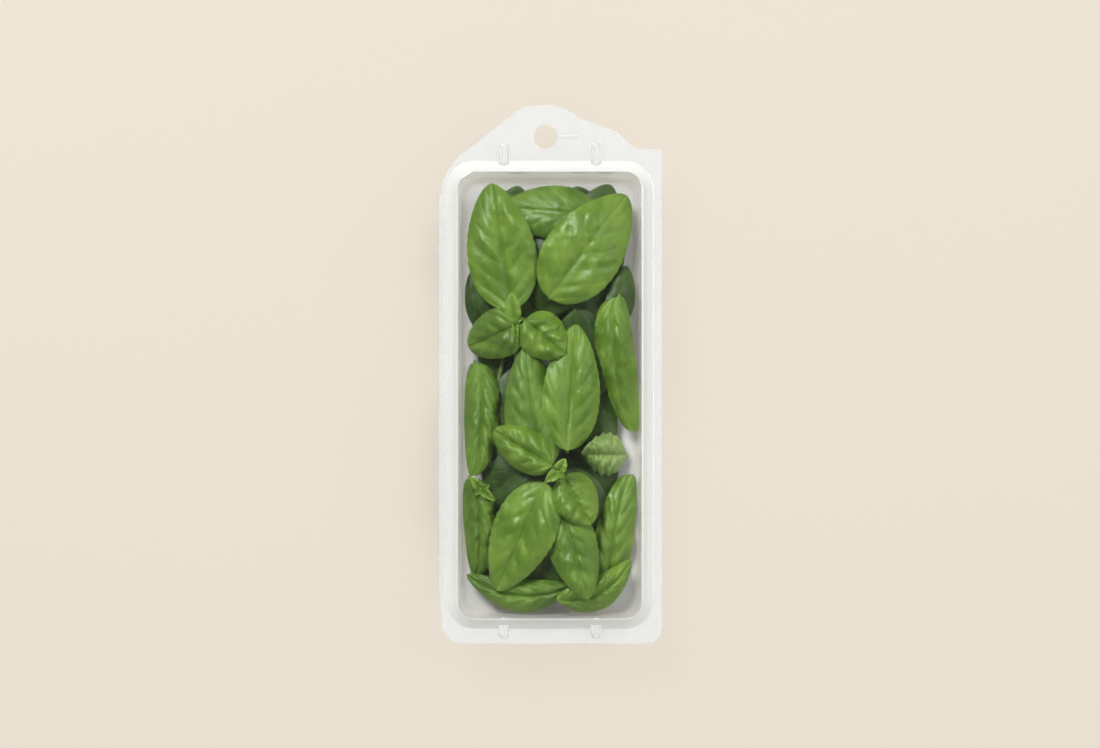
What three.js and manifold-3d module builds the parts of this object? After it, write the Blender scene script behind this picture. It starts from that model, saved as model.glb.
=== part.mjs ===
// Hang-tab clamshell pack of fresh basil: a thermoformed clear tray and hinged lid, filled with
// loose leaves and sprigs. Millimetres. The pack lies on its back: +Z is up through the lid and
// +Y points to the hang tab. The origin is the middle of the pack, on the surface it lies on.
import * as THREE from 'three';
import { mergeVertices } from 'three/addons/utils/BufferGeometryUtils.js';
import Module from 'manifold-3d';

const wasm = await Module();
wasm.setup();

// ---- Driving dimensions -------------------------------------------------------------------

const PACK = {
  width: 84.8, // over the hinge fold and the free edge
  length: 204.4, // from the bottom edge to the peak of the hang tab
  sheet: 0.45, // wall of the formed plastic
  parting: 0.3, // air between the closed tray and lid flanges
};

const TRAY = {
  depth: 22.2, // underside of the floor to the parting plane
  sideFlange: 6.0, // width of the flange beside the mouth
  topFlange: 7.4, // from the mouth to the shoulder line of the flange
  bottomFlange: 8.0,
  draft: 3.3, // how far the walls lean in between mouth and floor
  floorRound: 2.6, // radius where the walls meet the floor
  mouthCorner: 9.0, // corner radius of the mouth in plan
};

const LID = {
  rise: 6.3, // parting plane to the top of the raised panel
  ringWidth: 4.55, // width of the sloped wall round the panel, in plan
  edgeWidth: 0.86, // part of that width taken by the rounded edge of the panel
  edgeDrop: 0.6, // height of that rounded edge
  sideFlange: 3.1, // flange left outside the sloped wall
  topFlange: 4.0,
  bottomFlange: 5.3,
  footCorner: 11.0, // corner radius at the foot of the sloped wall
};

const TAB = {
  shoulder: 17.3, // from the shoulder line of the flange up to the peak
  holeDiameter: 9.1,
  holeDrop: 12.2, // from the peak down to the middle of the hang hole
  holeAcross: -1.7, // the hole's middle, from the pack's middle line
  ribLength: 8.7, // short stiffening rib beside the hole
  ribWidth: 1.1,
  ribHeight: 0.7,
  ribDraft: 0.12, // how far the rib's sides lean in
  ribGap: 4.2, // from the hole's middle to the near end of the rib
  bottomCornerLeft: 8.0,
  bottomCornerRight: 6.0,
};

const HINGE = {
  radius: 0.55, // outside radius of the folded film
  clearance: 0.3, // air between the fold and the two flange edges
  bottomInset: 12.0, // from the bottom edge of the pack to the end of the hinge
  topInset: 34.0, // from the peak of the tab to the other end
};

const SNAP = {
  across: 17.5, // snap bosses, left and right of the middle line
  radius: 2.05, // half the width of a lid boss
  height: 2.9, // lid boss above the parting plane
  draft: 0.3,
  clearance: 0.45, // air between a tray boss and the lid boss over it
  topLength: 9.5, // length along the pack of the bosses below the tab
  topEnd: 3.1, // their upper end, above the shoulder line
  bottomLength: 8.0,
  bottomEnd: 1.9, // lower end, from the bottom edge of the pack
  wallInset: 1.6, // tray boss starts this far outside the mouth
};

const LEAF = {
  blade: 0.5, // thickness of a blade
  petioleRadius: 0.75,
  tipHalfWidth: 0.4,
  gap: 0.35, // air between a leaf and what it lies on
  lidGap: 0.6, // air between the pile and the lid
  reach: 3.5, // a blade bridges what is nearer than this
  stiffness: 10, // smoothing passes over the draped blade
  floorLength: 165.1, // length of floor that the pile's own lengths are given for
};

const TIP = {
  budRadius: 0.2, // the rest are shares of the tip's size
  budStretch: 1.3, // height of the bud over its width
  shortLeaflet: 0.72, // length of every second leaflet
  leafletWidth: 0.62, // width over length
  rise: -0.32, // how far the long leaflets stand up, radians
  shortRise: -0.2, // how much further the short ones do
  arch: 0.8,
  cup: 0.5,
};

const JOIN = 0.02; // depth that two joined solids share
const CUT = 1; // how far a cutting solid reaches past the face that it opens
const LEAN = 1.25; // a wall's thickness in plan over its real thickness, on the sloped wall
const ROUND_IN = 0.35; // a point halfway round the floor's edge, in shares of its radius
const ROUND_UP = 0.25;
const CELL = 0.5; // plan grid used to settle the pile
const WALL_CLIMB = 5; // a leaf may lie this far up the wall from the floor

// ---- Derived places -----------------------------------------------------------------------

const right = PACK.width / 2;
const peak = PACK.length / 2;
const bottom = -PACK.length / 2;
const shoulderLine = peak - TAB.shoulder;
const partingZ = TRAY.depth;
const hingeX = -right + HINGE.radius;
const flangeLeft = hingeX + HINGE.radius + HINGE.clearance;
const trayFlangeTop = partingZ - PACK.parting / 2;
const lidFlangeBottom = partingZ + PACK.parting / 2;
const lidTop = partingZ + LID.rise;

// Plan rectangle of a cavity: half width, lower and upper ends, corner radius.
const mouth = {
  half: right - TRAY.sideFlange,
  low: bottom + TRAY.bottomFlange,
  high: shoulderLine - TRAY.topFlange,
  corner: TRAY.mouthCorner,
};
const ringFoot = {
  half: right - LID.sideFlange,
  low: bottom + LID.bottomFlange,
  high: shoulderLine - LID.topFlange,
  corner: LID.footCorner,
};
const floorMiddle = (mouth.low + mouth.high) / 2;
const floorHalf = mouth.half - TRAY.draft;
const floorHalfLength = (mouth.high - mouth.low) / 2 - TRAY.draft;
const lengthShare = 2 * floorHalfLength / LEAF.floorLength;

// ---- Solids and geometry helpers ----------------------------------------------------------

function toSolid(geometry) {
  const plain = geometry.clone();
  plain.deleteAttribute('normal');
  plain.deleteAttribute('uv');
  const merged = mergeVertices(plain, 1e-4);
  const mesh = new wasm.Mesh({
    numProp: 3,
    vertProperties: new Float32Array(merged.attributes.position.array),
    triVerts: new Uint32Array(merged.index.array),
  });
  return new wasm.Manifold(mesh);
}

function toGeometry(solid) {
  const mesh = solid.getMesh();
  const geometry = new THREE.BufferGeometry();
  geometry.setAttribute('position', new THREE.BufferAttribute(mesh.vertProperties, 3));
  geometry.setIndex(new THREE.BufferAttribute(mesh.triVerts, 1));
  geometry.computeVertexNormals();
  return geometry;
}

// A rectangle with round corners, drawn in by an inset, as counterclockwise points.
function roundLoop(plan, inset, steps = 7) {
  const radius = Math.max(plan.corner - inset, 0.4);
  const x = plan.half - inset - radius;
  const high = plan.high - inset - radius;
  const low = plan.low + inset + radius;
  const centres = [[x, high], [-x, high], [-x, low], [x, low]];
  return centres.flatMap(([cx, cy], corner) =>
    Array.from({ length: steps + 1 }, (_, step) => {
      const angle = (corner + step / steps) * Math.PI / 2;
      return [cx + radius * Math.cos(angle), cy + radius * Math.sin(angle)];
    }));
}

// A solid, or an open skin, through loops of equal length, listed from the bottom up.
function loft(levels, capTop = true) {
  const count = levels[0].loop.length;
  const points = levels.flatMap(({ loop, z }) => loop.map(([x, y]) => [x, y, z]));
  const index = [];
  for (let level = 0; level + 1 < levels.length; level += 1) {
    for (let i = 0; i < count; i += 1) {
      const a = level * count + i;
      const b = level * count + (i + 1) % count;
      index.push(a, b, b + count, a, b + count, a + count);
    }
  }
  const cap = (level, facesUp) => {
    const middle = points.length;
    const centre = levels[level].loop.reduce(([x, y], p) => [x + p[0] / count, y + p[1] / count], [0, 0]);
    points.push([...centre, levels[level].z]);
    for (let i = 0; i < count; i += 1) {
      const a = level * count + i;
      const b = level * count + (i + 1) % count;
      index.push(middle, facesUp ? a : b, facesUp ? b : a);
    }
  };
  cap(0, false);
  if (capTop) {
    cap(levels.length - 1, true);
  }
  const geometry = new THREE.BufferGeometry();
  geometry.setAttribute('position', new THREE.Float32BufferAttribute(points.flat(), 3));
  geometry.setIndex(index);
  geometry.computeVertexNormals();
  return geometry;
}

function slab(shape, low, high) {
  const geometry = new THREE.ExtrudeGeometry(shape, {
    depth: high - low,
    bevelEnabled: false,
    curveSegments: 8,
  });
  return geometry.translate(0, 0, low);
}

// ---- Flange, tab and snap outlines --------------------------------------------------------

// Flange outline with the hang tab: rounded bottom corners, a square opening corner at the top
// right, and both left corners cut back from the hinge.
function flangeOutline() {
  const up = (share) => shoulderLine + share * TAB.shoulder;
  const shape = new THREE.Shape();
  const left = flangeLeft;
  const cornerLeft = TAB.bottomCornerLeft;
  const cornerRight = TAB.bottomCornerRight;
  shape.moveTo(left + cornerLeft, bottom);
  shape.lineTo(right - cornerRight, bottom);
  shape.absarc(right - cornerRight, bottom + cornerRight, cornerRight, -Math.PI / 2, 0);
  shape.lineTo(right, up(0));
  shape.lineTo(right * 0.76, up(0.05));
  shape.quadraticCurveTo(right * 0.71, up(0.14), right * 0.6, up(0.4));
  shape.lineTo(right * 0.26, up(0.7));
  shape.quadraticCurveTo(right * 0.07, up(1.155), right * -0.26, up(0.92));
  shape.lineTo(right * -0.74, up(0));
  shape.quadraticCurveTo(right * -0.84, up(-0.12), left, up(-0.7));
  shape.lineTo(left, bottom + cornerLeft);
  shape.absarc(left + cornerLeft, bottom + cornerLeft, cornerLeft, Math.PI, Math.PI * 1.5);
  return shape;
}

function hangHole(low, high) {
  const shape = new THREE.Shape();
  shape.absarc(TAB.holeAcross, peak - TAB.holeDrop, TAB.holeDiameter / 2, 0, Math.PI * 2);
  return slab(shape, low, high);
}

// Plan rectangle of each boss, before its walls are drawn in.
function bossPlans(lowerInset = 0, endInset = 0) {
  const plans = [];
  for (const side of [-1, 1]) {
    const upperEnd = shoulderLine + SNAP.topEnd - endInset;
    const lowerEnd = bottom + SNAP.bottomEnd + endInset;
    const upper = { high: upperEnd, low: shoulderLine + SNAP.topEnd - SNAP.topLength };
    const lower = { high: bottom + SNAP.bottomEnd + SNAP.bottomLength, low: lowerEnd };
    if (lowerInset > 0) {
      upper.low = mouth.high + lowerInset;
      lower.high = mouth.low - lowerInset;
    }
    plans.push({ ...upper, across: side * SNAP.across }, { ...lower, across: side * SNAP.across });
  }
  return plans;
}

function boss(plan, radius, low, high) {
  const at = (r) => roundLoop({ half: r, low: plan.low, high: plan.high, corner: r }, 0, 4)
    .map(([x, y]) => [x + plan.across, y]);
  const lean = SNAP.draft * (high - low) / SNAP.height;
  return loft([{ loop: at(radius), z: low }, { loop: at(radius - lean), z: high }]);
}

// ---- Lid and tray shells ------------------------------------------------------------------

// The raised panel of the lid with its sloped wall; an offset moves the skin inwards by one wall.
function lidDome(offset, footZ) {
  const wallOffset = offset * LEAN;
  const top = lidTop - offset;
  return loft([
    { loop: roundLoop(ringFoot, wallOffset), z: footZ },
    { loop: roundLoop(ringFoot, wallOffset), z: footZ + JOIN },
    { loop: roundLoop(ringFoot, LID.ringWidth - LID.edgeWidth + wallOffset), z: top - LID.edgeDrop },
    { loop: roundLoop(ringFoot, LID.ringWidth + wallOffset), z: top },
  ]);
}

function makeLid() {
  const flangeTop = lidFlangeBottom + PACK.sheet;
  let shell = toSolid(slab(flangeOutline(), lidFlangeBottom, flangeTop));
  shell = shell.add(toSolid(lidDome(0, flangeTop - JOIN)));
  let hollow = toSolid(lidDome(PACK.sheet, lidFlangeBottom - CUT));
  const bossTop = partingZ + SNAP.height;
  for (const plan of bossPlans()) {
    shell = shell.add(toSolid(boss(plan, SNAP.radius, lidFlangeBottom, bossTop)));
    const inside = { ...plan, low: plan.low + PACK.sheet, high: plan.high - PACK.sheet };
    const core = boss(inside, SNAP.radius - PACK.sheet, lidFlangeBottom - CUT, bossTop - PACK.sheet);
    hollow = hollow.add(toSolid(core));
  }
  const ribStart = TAB.holeAcross + TAB.ribGap;
  const ribY = peak - TAB.holeDrop;
  const ribPlan = { half: TAB.ribLength / 2, low: ribY - TAB.ribWidth / 2, high: ribY + TAB.ribWidth / 2 };
  const ribLoop = (inset) => roundLoop({ ...ribPlan, corner: TAB.ribWidth / 2 }, inset, 3)
    .map(([x, y]) => [x + ribStart + TAB.ribLength / 2, y]);
  const rib = loft([
    { loop: ribLoop(0), z: flangeTop - PACK.sheet / 2 },
    { loop: ribLoop(TAB.ribDraft), z: flangeTop + TAB.ribHeight },
  ]);
  shell = shell.add(toSolid(rib));
  return toGeometry(shell.subtract(hollow).subtract(toSolid(hangHole(lidFlangeBottom - CUT, lidTop))));
}

// Levels of the tray cavity; an offset moves the skin outwards by one wall.
function trayCavity(offset, topZ, capTop = true) {
  const floorZ = PACK.sheet - offset;
  const round = TRAY.floorRound;
  return loft([
    { loop: roundLoop(mouth, TRAY.draft + round - offset), z: floorZ },
    { loop: roundLoop(mouth, TRAY.draft + round * ROUND_IN - offset), z: floorZ + round * ROUND_UP },
    { loop: roundLoop(mouth, TRAY.draft - offset), z: floorZ + round },
    { loop: roundLoop(mouth, -offset), z: topZ },
  ], capTop);
}

function makeTray() {
  const flangeLow = trayFlangeTop - PACK.sheet;
  let shell = toSolid(slab(flangeOutline(), flangeLow, trayFlangeTop));
  shell = shell.add(toSolid(trayCavity(PACK.sheet, trayFlangeTop)));
  let hollow = toSolid(trayCavity(0, trayFlangeTop + JOIN));
  const wall = PACK.sheet + SNAP.clearance;
  const bossTop = partingZ + SNAP.height - wall;
  for (const plan of bossPlans(SNAP.wallInset, wall)) {
    const radius = SNAP.radius - wall;
    shell = shell.add(toSolid(boss(plan, radius, flangeLow, bossTop)));
    const inside = { ...plan, low: plan.low + PACK.sheet, high: plan.high - PACK.sheet };
    const core = boss(inside, radius - PACK.sheet, flangeLow - CUT, bossTop - PACK.sheet);
    hollow = hollow.add(toSolid(core));
  }
  return toGeometry(shell.subtract(hollow).subtract(toSolid(hangHole(0, lidTop))));
}

// The folded film of the living hinge, drawn as a slim closed bead on the hinge axis.
function makeHinge() {
  const section = new THREE.Shape();
  section.absarc(0, 0, HINGE.radius, 0, Math.PI * 2);
  const length = PACK.length - HINGE.bottomInset - HINGE.topInset;
  const geometry = new THREE.ExtrudeGeometry(section, {
    depth: length,
    bevelEnabled: false,
    curveSegments: 6,
  });
  geometry.rotateX(-Math.PI / 2);
  return geometry.translate(hingeX, bottom + HINGE.bottomInset, partingZ);
}

// ---- Leaves and stems ---------------------------------------------------------------------

// Half width of a blade, as a share of its greatest, from base (0) to tip (1).
function bladeShare(along) {
  const oval = Math.sin(Math.PI * along ** 0.84) ** 0.68;
  return oval * (1 - 0.14 * along) / 0.94;
}

// Plan grid of a leaf along +X, its middle at the origin, from the stalk's end to the tip. Each
// row holds the points across one station; bend bows the midrib sideways.
function leafGrid({ length, width, bend = 0, petiole = 4, rows = 8, columns = 4 }) {
  const stations = petiole > 0 ? [-petiole / length] : [];
  for (let row = 0; row <= rows; row += 1) {
    stations.push((1 - Math.cos(Math.PI * row / rows)) / 2);
  }
  return stations.map((along) => {
    const inside = Math.max(along, 0);
    const share = bladeShare(inside);
    const least = along < 0.5 ? LEAF.petioleRadius : LEAF.tipHalfWidth;
    const half = Math.max(width / 2 * share, least);
    const bow = 4 * along * (1 - along);
    const thick = LEAF.blade + (2 * LEAF.petioleRadius - LEAF.blade) * Math.exp(-inside / 0.09);
    return Array.from({ length: columns + 1 }, (_, column) => {
      const side = 2 * column / columns - 1;
      const x = (along - 0.5) * length;
      return { x, y: side * half + bend * (bow - 0.5), z: 0, bow, side, share, thick };
    });
  });
}

// Rise of a leaf over what it lies on: arch bows the midrib up and cup turns the edges down.
function leafRise(point, { arch, cup }) {
  return arch * point.bow - cup * point.side * point.side * point.share;
}

// A thin closed blade through a grid of points: upper skin, lower skin and the rim between them.
function bladeGeometry(grid) {
  const upper = grid.flat().map((point) => [point.x, point.y, point.z + point.thick / 2]);
  const lower = grid.flat().map((point) => [point.x, point.y, point.z - point.thick / 2]);
  const across = grid[0].length;
  const columns = across - 1;
  const last = grid.length - 1;
  const total = upper.length;
  const index = [];
  const quad = (a, b, c, d) => index.push(a, b, c, a, c, d);
  for (let row = 0; row < last; row += 1) {
    for (let column = 0; column < columns; column += 1) {
      const a = row * across + column;
      quad(a, a + across, a + across + 1, a + 1);
      quad(total + a, total + a + 1, total + a + across + 1, total + a + across);
    }
    const near = row * across;
    const far = near + columns;
    quad(total + near, total + near + across, near + across, near);
    quad(far, far + across, total + far + across, total + far);
  }
  for (let column = 0; column < columns; column += 1) {
    const end = last * across + column;
    quad(column, column + 1, total + column + 1, total + column);
    quad(total + end, total + end + 1, end + 1, end);
  }
  const geometry = new THREE.BufferGeometry();
  geometry.setAttribute('position', new THREE.Float32BufferAttribute([...upper, ...lower].flat(), 3));
  geometry.setIndex(index);
  geometry.computeVertexNormals();
  return geometry;
}

// A stalk with a slight bow, lying along +X, swollen at each leaf joint.
function stemGeometry({ length, radius, bow }) {
  const path = new THREE.QuadraticBezierCurve3(
    new THREE.Vector3(-length / 2, 0, 0),
    new THREE.Vector3(0, 2 * bow, 0),
    new THREE.Vector3(length / 2, 0, 0),
  );
  const section = new THREE.Shape();
  section.absarc(0, 0, radius, 0, Math.PI * 2);
  const steps = Math.max(6, Math.round(length / 6));
  return new THREE.ExtrudeGeometry(section, { steps, extrudePath: path, curveSegments: 4 });
}

// The growing tip of a sprig: small leaflets round a bud, joined as one piece. relief lays them flatter.
function tipGeometry({ leaflets, size }, relief) {
  const bud = new THREE.SphereGeometry(size * TIP.budRadius, 8, 6);
  bud.scale(1, 1, TIP.budStretch * relief);
  let solid = toSolid(bud);
  for (let i = 0; i < leaflets; i += 1) {
    const short = i % 2;
    const length = size * (short ? TIP.shortLeaflet : 1);
    const grid = leafGrid({ length, width: length * TIP.leafletWidth, petiole: 0, rows: 6 });
    grid.flat().forEach((point) => {
      point.z = relief * leafRise(point, TIP);
    });
    const blade = bladeGeometry(grid);
    blade.translate(length * 0.5, 0, 0);
    blade.rotateY(relief * (TIP.rise + TIP.shortRise * short));
    blade.rotateZ(i * 2 * Math.PI / leaflets);
    solid = solid.add(toSolid(blade));
  }
  return toGeometry(solid);
}

// What lies in the pack, from the tray floor upwards. at: place of the piece's middle, in shares
// of the half floor across and along. heading: the way the tip points, degrees from +X.
const floorLeaf = { kind: 'leaf', rows: 7, arch: 2.2, cup: 1.6, petiole: 3 };
const topLeaf = { kind: 'leaf', rows: 8, arch: 4, cup: 3.6, petiole: 4 };
const smallLeaf = { ...topLeaf, petiole: 2 };
const edgeLeaf = { ...topLeaf, width: 13, bend: 5 }; // bowed sideways, along the bottom wall

const PILE = [
  // Leaves against the floor
  { ...floorLeaf, name: 'floor_leaf_1', at: [-0.48, 0.72], heading: 80, length: 46, width: 26 },
  { ...floorLeaf, name: 'floor_leaf_2', at: [0.46, 0.74], heading: 106, length: 43, width: 26 },
  { ...floorLeaf, name: 'floor_leaf_3', at: [0.46, 0.2], heading: -82, length: 50, width: 26 },
  { ...floorLeaf, name: 'floor_leaf_4', at: [-0.48, 0.2], heading: 98, length: 44, width: 26 },
  { ...floorLeaf, name: 'floor_leaf_5', at: [-0.46, -0.32], heading: -94, length: 48, width: 26 },
  { ...floorLeaf, name: 'floor_leaf_6', at: [0.46, -0.32], heading: 76, length: 42, width: 25 },
  { ...floorLeaf, name: 'floor_leaf_7', at: [0.42, -0.78], heading: -98, length: 33, width: 24 },
  { ...floorLeaf, name: 'floor_leaf_8', at: [-0.46, -0.78], heading: 78, length: 32, width: 24 },
  { ...floorLeaf, name: 'floor_leaf_9', at: [0.0, -0.8], heading: 92, length: 40, width: 27 },
  // Loose stems
  { kind: 'stem', name: 'stem_1', at: [0.05, 0.42], heading: 96, length: 72, radius: 1.3, bow: 3 },
  { kind: 'stem', name: 'stem_2', at: [0.02, -0.5], heading: -82, length: 60, radius: 1.25, bow: -3 },
  { kind: 'stem', name: 'stem_3', at: [-0.6, -0.12], heading: 85, length: 48, radius: 1.0, bow: 2 },
  // Leaves buried in the middle of the pile
  { ...floorLeaf, name: 'middle_leaf_1', at: [-0.44, 0.5], heading: -70, length: 45, width: 25 },
  { ...floorLeaf, name: 'middle_leaf_2', at: [0.46, 0.5], heading: 84, length: 47, width: 25 },
  { ...floorLeaf, name: 'middle_leaf_3', at: [0.42, -0.06], heading: 100, length: 44, width: 24 },
  { ...floorLeaf, name: 'middle_leaf_4', at: [-0.42, -0.06], heading: 72, length: 43, width: 24 },
  { ...floorLeaf, name: 'middle_leaf_5', at: [0.38, -0.58], heading: -76, length: 44, width: 24 },
  { ...floorLeaf, name: 'middle_leaf_6', at: [-0.42, -0.6], heading: -102, length: 42, width: 24 },
  { ...floorLeaf, name: 'middle_leaf_7', at: [-0.4, 0.76], heading: 118, length: 40, width: 24 },
  { ...floorLeaf, name: 'middle_leaf_8', at: [0.48, 0.78], heading: 66, length: 40, width: 24 },
  { ...floorLeaf, name: 'middle_leaf_9', at: [0.52, 0.36], heading: -96, length: 42, width: 23 },
  { ...floorLeaf, name: 'middle_leaf_10', at: [-0.02, -0.72], heading: 84, length: 44, width: 26 },
  // Sprig stems under the two growing tips
  { kind: 'stem', name: 'sprig_a_stem', at: [-0.28, 0.1], heading: 100, length: 44, radius: 1.3, bow: 2 },
  { kind: 'stem', name: 'sprig_b_stem', at: [0.12, -0.58], heading: 94, length: 44, radius: 1.3, bow: -2 },
  // Darker leaves seen through the gaps
  { ...floorLeaf, name: 'under_leaf_top', at: [0.08, 0.62], heading: 82, length: 44, width: 24 },
  { ...floorLeaf, name: 'under_leaf_right', at: [0.44, 0.2], heading: -72, length: 36, width: 22 },
  { ...floorLeaf, name: 'under_leaf_left', at: [-0.42, -0.38], heading: -140, length: 34, width: 22 },
  { ...floorLeaf, name: 'edge_leaf_right', at: [0.82, 0.46], heading: 80, length: 26, width: 12 },
  { ...floorLeaf, name: 'edge_leaf_left', at: [-0.82, 0.44], heading: 102, length: 26, width: 12 },
  // Leaves that hang down between the pile and the side walls
  { ...topLeaf, name: 'side_leaf_right_upper', at: [0.77, 0.14], heading: -83, length: 52, width: 15 },
  { ...topLeaf, name: 'side_leaf_left_upper', at: [-0.79, -0.11], heading: -91, length: 43, width: 13.5 },
  { ...topLeaf, name: 'side_leaf_right_lower', at: [0.75, -0.63], heading: 82, length: 45, width: 15 },
  { ...topLeaf, name: 'side_leaf_left_lower', at: [-0.81, -0.61], heading: -87, length: 38, width: 12.5 },
  { ...edgeLeaf, name: 'bottom_edge_leaf', at: [-0.42, -0.92], heading: 173, length: 39 },
  { ...edgeLeaf, name: 'bottom_corner_leaf', at: [0.55, -0.88], heading: 28, length: 32, bend: -5 },
  // Leaves on the top of the pile
  { ...topLeaf, name: 'top_leaf_middle', at: [0.0, 0.85], heading: 175, length: 37, width: 21 },
  { ...topLeaf, name: 'top_leaf_left', at: [-0.57, 0.69], heading: 99, length: 49, width: 26.5 },
  { ...topLeaf, name: 'top_leaf_right', at: [0.44, 0.69], heading: 53, length: 52, width: 31 },
  { ...topLeaf, name: 'lower_leaf_middle', at: [0.28, -0.72], heading: -74, length: 37, width: 19 },
  { ...topLeaf, name: 'lower_leaf_left', at: [-0.33, -0.65], heading: -114, length: 45, width: 24 },
  { ...topLeaf, name: 'centre_leaf_left', at: [-0.2, -0.06], heading: 96, length: 48, width: 22 },
  { ...topLeaf, name: 'centre_leaf_right', at: [0.25, 0.04], heading: 86, length: 48, width: 22 },
  { ...smallLeaf, name: 'small_leaf_right', at: [0.62, -0.27], heading: 178, length: 15, width: 14 },
  { ...smallLeaf, name: 'sprig_a_leaf_left', at: [-0.64, 0.28], heading: -156, length: 22, width: 19 },
  { ...smallLeaf, name: 'sprig_a_leaf_right', at: [-0.06, 0.27], heading: -41, length: 20, width: 18 },
  { ...smallLeaf, name: 'sprig_b_leaf_left', at: [-0.31, -0.24], heading: 149, length: 26, width: 16 },
  { ...smallLeaf, name: 'sprig_b_leaf_right', at: [0.31, -0.48], heading: -61, length: 21, width: 17 },
  { kind: 'tip', name: 'sprig_a_tip', at: [-0.4, 0.36], heading: 35, leaflets: 5, size: 6.5 },
  { kind: 'tip', name: 'sprig_b_tip', at: [0.07, -0.34], heading: 60, leaflets: 4, size: 6 },
  { kind: 'tip', name: 'left_tip', at: [-0.77, -0.43], heading: -40, leaflets: 4, size: 5.5 },
];

// ---- Settling the pile --------------------------------------------------------------------

const columns = Math.ceil(PACK.width / CELL) + 2;
const rows = Math.ceil(PACK.length / CELL) + 2;

function cellAt(x, y) {
  return Math.floor((x + right) / CELL + 1) + columns * Math.floor((y - bottom) / CELL + 1);
}

// Visits points spread closely over every triangle of a placed mesh or a bare geometry.
function overSurface(geometry, matrix, visit) {
  const position = geometry.attributes.position;
  const order = geometry.index ? geometry.index.array : [...Array(position.count).keys()];
  const corners = [new THREE.Vector3(), new THREE.Vector3(), new THREE.Vector3()];
  for (let face = 0; face < order.length; face += 3) {
    corners.forEach((corner, k) => {
      corner.fromBufferAttribute(position, order[face + k]);
      if (matrix) {
        corner.applyMatrix4(matrix);
      }
    });
    const [a, b, c] = corners;
    const longest = Math.max(a.distanceTo(b), b.distanceTo(c), c.distanceTo(a));
    const steps = Math.max(1, Math.ceil(longest / (CELL * 0.6)));
    for (let i = 0; i <= steps; i += 1) {
      for (let j = 0; i + j <= steps; j += 1) {
        const s = i / steps;
        const t = j / steps;
        const r = 1 - s - t;
        visit(a.x * r + b.x * s + c.x * t, a.y * r + b.y * s + c.y * t, a.z * r + b.z * s + c.z * t);
      }
    }
  }
}

// Height of the tray lining over each cell, and of the lid above it; nothing lies outside.
function packLimits() {
  const floor = new Float32Array(columns * rows).fill(-Infinity);
  const lining = trayCavity(0, trayFlangeTop, false);
  overSurface(lining, null, (x, y, z) => {
    const cell = cellAt(x, y);
    floor[cell] = Math.max(floor[cell], z);
  });
  const floorLimit = PACK.sheet + WALL_CLIMB;
  floor.forEach((z, cell) => {
    floor[cell] = z === -Infinity || z > floorLimit ? Infinity : z;
  });
  const ceiling = new Float32Array(columns * rows).fill(Infinity);
  const dome = lidDome(PACK.sheet, lidFlangeBottom);
  overSurface(dome, null, (x, y, z) => {
    const cell = cellAt(x, y);
    if (z > lidFlangeBottom + 0.1) {
      ceiling[cell] = Math.min(ceiling[cell], z);
    }
  });
  return { floor, ceiling };
}

// Lowest and highest point of a placed mesh over each plan cell that it covers.
function footprint(mesh) {
  const low = new Map();
  const high = new Map();
  mesh.updateMatrixWorld(true);
  overSurface(mesh.geometry, mesh.matrixWorld, (x, y, z) => {
    const cell = cellAt(x, y);
    low.set(cell, Math.min(low.get(cell) ?? Infinity, z));
    high.set(cell, Math.max(high.get(cell) ?? -Infinity, z));
  });
  return { low, high };
}

// Lowers a mesh until it lies on what is below it, moving it inwards where it meets a wall.
function settle(mesh, surface) {
  for (let tries = 0; tries < 60; tries += 1) {
    const { low, high } = footprint(mesh);
    let lift = -Infinity;
    for (const [cell, z] of low) {
      lift = Math.max(lift, surface[cell] + LEAF.gap - z);
    }
    if (lift < Infinity) {
      mesh.position.z += lift;
      for (const [cell, z] of high) {
        surface[cell] = Math.max(surface[cell], z + lift);
      }
      return high;
    }
    const inward = new THREE.Vector2(-mesh.position.x, floorMiddle - mesh.position.y);
    inward.divide(new THREE.Vector2(floorHalf, floorHalfLength));
    inward.setLength(CELL);
    mesh.position.x += inward.x;
    mesh.position.y += inward.y;
  }
  throw new Error(`${mesh.name} does not fit between the walls`);
}

// Lets a leaf's grid hang over the highest things near each of its points, as a soft but springy
// sheet does: it spans hollows and rounds off steps.
function drape(grid, place, surface) {
  const reach = Math.ceil(LEAF.reach / CELL);
  const held = grid.map((row) => row.map((point) => {
    const spot = new THREE.Vector3(point.x, point.y, 0).applyMatrix4(place);
    const centre = cellAt(spot.x, spot.y);
    let top = PACK.sheet;
    for (let i = -reach; i <= reach; i += 1) {
      for (let j = -reach; j <= reach; j += 1) {
        const z = surface[centre + i + columns * j];
        if (i * i + j * j <= reach * reach && z < Infinity) {
          top = Math.max(top, z);
        }
      }
    }
    return top;
  }));
  let sheet = held;
  for (let pass = 0; pass < LEAF.stiffness; pass += 1) {
    const before = sheet;
    sheet = before.map((row, i) => row.map((z, j) => {
      const beside = [before[i - 1]?.[j], before[i + 1]?.[j], row[j - 1], row[j + 1]]
        .filter((height) => height !== undefined);
      const mean = beside.reduce((sum, height) => sum + height, 0) / beside.length;
      return Math.max(held[i][j], (z + mean) / 2);
    }));
  }
  return sheet;
}

const SHADES = [0x5f8728, 0x547a22, 0x6b9534, 0x4b701f];
const STEM_GREEN = 0x86a552;
const TIP_GREEN = 0x7da33a;

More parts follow.
